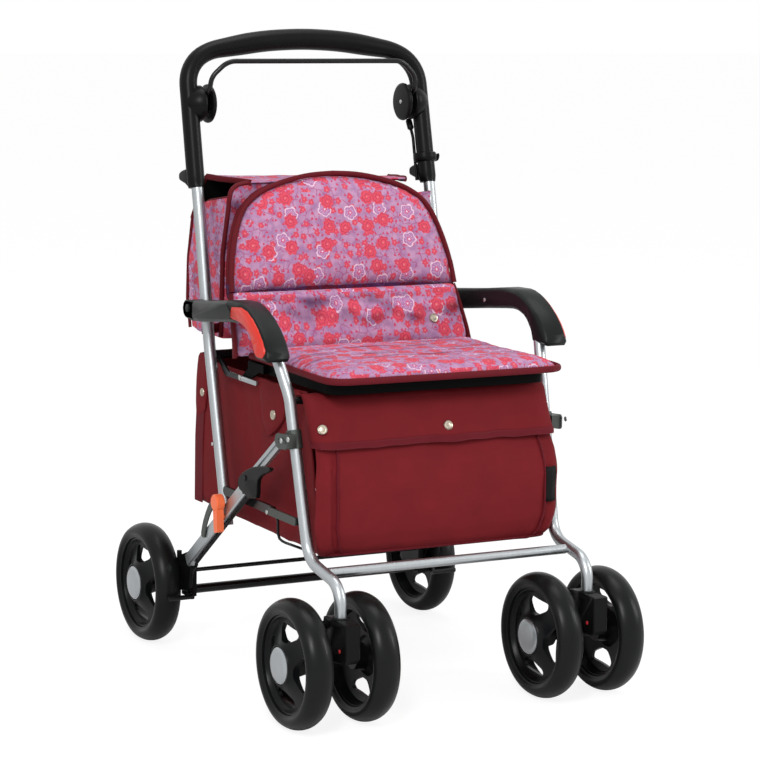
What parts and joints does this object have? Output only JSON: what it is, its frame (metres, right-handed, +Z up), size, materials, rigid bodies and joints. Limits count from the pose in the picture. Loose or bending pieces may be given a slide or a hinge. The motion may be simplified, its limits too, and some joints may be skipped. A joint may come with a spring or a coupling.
{
  "type": "shopping rollator",
  "caption": "Folding shopping rollator with a height-adjustable handle, brake bar, padded seat and backrest, armrests, twin swivel casters, rear wheels, a fabric shopping bag and a pouch.",
  "frame": {"origin": "centre of the footprint on the floor", "axes": "+Z up, front (casters) towards -Y, +X towards the object's left-hand side as seen by its user, which is the viewer's right in front of it"},
  "size_m": [0.4972, 0.6456, 0.8502],
  "materials": {
    "silver_tube": "satin",
    "black_plastic": "matte",
    "armrest_plastic": "matte",
    "black_tube": "satin",
    "grey_steel": "satin",
    "orange_plastic": "satin",
    "red_plastic": "satin",
    "tyre_rubber": "matte",
    "rim_plastic": "satin",
    "maroon_cloth": "matte",
    "floral_cloth": "matte",
    "seat_board": "matte"
  },
  "bodies": {
    "frame": {"upright_L": "silver_tube", "upright_R": "silver_tube", "seat_hinge_bar": "silver_tube", "pouch": "maroon_cloth", "backrest_upper": "floral_cloth", "backrest_lower": "floral_cloth", "bag_rear": "maroon_cloth", "bag_gusset": "maroon_cloth", "brake_cable_upright": "black_plastic"},
    "front_frame": {"front_leg_L": "silver_tube", "front_leg_R": "silver_tube", "armrest_L": "armrest_plastic", "armrest_R": "armrest_plastic", "armrest_insert_L": "red_plastic", "armrest_insert_R": "red_plastic", "front_crossbar": "silver_tube", "front_upper_bar": "black_tube", "leg_bracket_L": "grey_steel", "leg_bracket_R": "grey_steel", "bag_front": "maroon_cloth", "bag_flap": "maroon_cloth"},
    "rear_frame": {"rear_leg_L": "silver_tube", "rear_leg_R": "silver_tube", "knee_L": "black_plastic", "knee_R": "black_plastic", "rear_beam": "black_tube", "wheel_bracket_L": "black_plastic", "wheel_bracket_R": "black_plastic", "brake_cable_leg": "black_plastic"},
    "link_L": {"upper_link_L": "silver_tube"},
    "link_R": {"upper_link_R": "silver_tube"},
    "stay_L": {"stay_L": "grey_steel"},
    "stay_R": {"stay_R": "grey_steel"},
    "bag_support": {"bag_support": "black_plastic"},
    "brake_rod": {"brake_rod": "black_tube"},
    "lock_lever": {"lock_lever": "orange_plastic"},
    "lock_hook": {"lock_hook": "grey_steel"},
    "handle": {"handle": "black_plastic", "brake_housing_L": "black_plastic", "brake_housing_R": "black_plastic", "brake_cable_handle": "black_plastic"},
    "brake_bar": {"brake_bar": "black_tube"},
    "knob_L": {"lock_knob_L": "black_plastic"},
    "knob_R": {"lock_knob_R": "black_plastic"},
    "seat": {"seat_board": "seat_board", "seat_pad": "floral_cloth"},
    "caster_L": {"caster_fork_L": "black_plastic"},
    "caster_R": {"caster_fork_R": "black_plastic"},
    "wheel_front_L_outer": {"tyre_front_L_outer": "tyre_rubber", "rim_front_L_outer": "rim_plastic"},
    "wheel_front_L_inner": {"tyre_front_L_inner": "tyre_rubber", "rim_front_L_inner": "rim_plastic"},
    "wheel_front_R_inner": {"tyre_front_R_inner": "tyre_rubber", "rim_front_R_inner": "rim_plastic"},
    "wheel_front_R_outer": {"tyre_front_R_outer": "tyre_rubber", "rim_front_R_outer": "rim_plastic"},
    "wheel_rear_L": {"tyre_rear_L": "tyre_rubber", "rim_rear_L": "rim_plastic"},
    "wheel_rear_R": {"tyre_rear_R": "tyre_rubber", "rim_rear_R": "rim_plastic"}
  },
  "joints": [
    {"name": "fold", "type": "hinge", "parent": "frame", "child": "front_frame", "pos_m": [0, 0.1365, 0.48], "axis": [1, 0, 0], "range_deg": [0, 18], "deforming": ["bag_gusset"]},
    {"name": "rear_fold", "type": "hinge", "parent": "frame", "child": "rear_frame", "pos_m": [0, 0.0613, 0.1952], "axis": [1, 0, 0], "range_deg": [-30.5, 0]},
    {"name": "link_L_pivot", "type": "hinge", "parent": "front_frame", "child": "link_L", "pos_m": [-0.198, -0.14, 0.3455], "axis": [1, 0, 0], "range_deg": [0, 51]},
    {"name": "link_R_pivot", "type": "hinge", "parent": "front_frame", "child": "link_R", "pos_m": [0.198, -0.14, 0.3455], "axis": [1, 0, 0], "range_deg": [0, 51]},
    {"name": "stay_L_pivot", "type": "hinge", "parent": "front_frame", "child": "stay_L", "pos_m": [-0.1768, -0.155, 0.243], "axis": [1, 0, 0], "range_deg": [-57, 0]},
    {"name": "stay_R_pivot", "type": "hinge", "parent": "front_frame", "child": "stay_R", "pos_m": [0.1768, -0.155, 0.243], "axis": [1, 0, 0], "range_deg": [-57, 0]},
    {"name": "bag_support_fold", "type": "hinge", "parent": "frame", "child": "bag_support", "pos_m": [0, 0.05916, 0.2427], "axis": [1, 0, 0], "range_deg": [0, 61]},
    {"name": "brake_rod_turn", "type": "hinge", "parent": "rear_frame", "child": "brake_rod", "pos_m": [0, 0.18, 0.108], "axis": [1, 0, 0], "range_deg": [0, 7], "stiffness_Nm_per_rad": 2, "springref_deg": -2.86},
    {"name": "lock_lever_turn", "type": "hinge", "parent": "rear_frame", "child": "lock_lever", "pos_m": [-0.2022, 0.027, 0.215], "axis": [1, 0, 0], "range_deg": [0, 35]},
    {"name": "lock_hook_turn", "type": "hinge", "parent": "rear_frame", "child": "lock_hook", "pos_m": [-0.202, 0.0897, 0.1751], "axis": [1, 0, 0], "range_deg": [-40, 0]},
    {"name": "handle_height", "type": "slide", "parent": "frame", "child": "handle", "axis": [0, 0.2283, 0.9736], "range_m": [0, 0.06]},
    {"name": "brake_bar_squeeze", "type": "hinge", "parent": "handle", "child": "brake_bar", "pos_m": [0, 0.1993, 0.7495], "axis": [1, 0, 0], "range_deg": [-20, 25]},
    {"name": "lock_knob_L_pull", "type": "slide", "parent": "handle", "child": "knob_L", "axis": [0, 1, 0], "range_m": [0, 0.006], "stiffness_N_per_m": 400, "springref_m": -0.002},
    {"name": "lock_knob_R_pull", "type": "slide", "parent": "handle", "child": "knob_R", "axis": [0, 1, 0], "range_m": [0, 0.006], "stiffness_N_per_m": 400, "springref_m": -0.002},
    {"name": "seat_lift", "type": "hinge", "parent": "frame", "child": "seat", "pos_m": [0, 0.046, 0.397], "axis": [-1, 0, 0], "range_deg": [0, 75], "deforming": ["backrest_lower"]},
    {"name": "caster_L_swivel", "type": "hinge", "parent": "front_frame", "child": "caster_L", "pos_m": [-0.1795, -0.2734, 0.15], "axis": [0, 0, 1], "continuous": true},
    {"name": "caster_R_swivel", "type": "hinge", "parent": "front_frame", "child": "caster_R", "pos_m": [0.1795, -0.2734, 0.15], "axis": [0, 0, 1], "continuous": true},
    {"name": "wheel_front_L_outer_spin", "type": "hinge", "parent": "caster_L", "child": "wheel_front_L_outer", "pos_m": [-0.2259, -0.2403, 0.0825], "axis": [1, 0, 0], "continuous": true},
    {"name": "wheel_front_L_inner_spin", "type": "hinge", "parent": "caster_L", "child": "wheel_front_L_inner", "pos_m": [-0.1331, -0.2403, 0.0825], "axis": [1, 0, 0], "continuous": true},
    {"name": "wheel_front_R_inner_spin", "type": "hinge", "parent": "caster_R", "child": "wheel_front_R_inner", "pos_m": [0.1331, -0.2403, 0.0825], "axis": [1, 0, 0], "continuous": true},
    {"name": "wheel_front_R_outer_spin", "type": "hinge", "parent": "caster_R", "child": "wheel_front_R_outer", "pos_m": [0.2259, -0.2403, 0.0825], "axis": [1, 0, 0], "continuous": true},
    {"name": "wheel_rear_L_spin", "type": "hinge", "parent": "rear_frame", "child": "wheel_rear_L", "pos_m": [-0.217, 0.2403, 0.0825], "axis": [1, 0, 0], "continuous": true},
    {"name": "wheel_rear_R_spin", "type": "hinge", "parent": "rear_frame", "child": "wheel_rear_R", "pos_m": [0.217, 0.2403, 0.0825], "axis": [1, 0, 0], "continuous": true}
  ],
  "couplings": [
    {"joint": "rear_fold", "follows": "fold", "ratio": -1.6667},
    {"joint": "link_L_pivot", "follows": "fold", "ratio": 2.8089},
    {"joint": "link_R_pivot", "follows": "fold", "ratio": 2.8089},
    {"joint": "stay_L_pivot", "follows": "fold", "ratio": -3.1233},
    {"joint": "stay_R_pivot", "follows": "fold", "ratio": -3.1233},
    {"joint": "bag_support_fold", "follows": "fold", "ratio": 3.355}
  ]
}
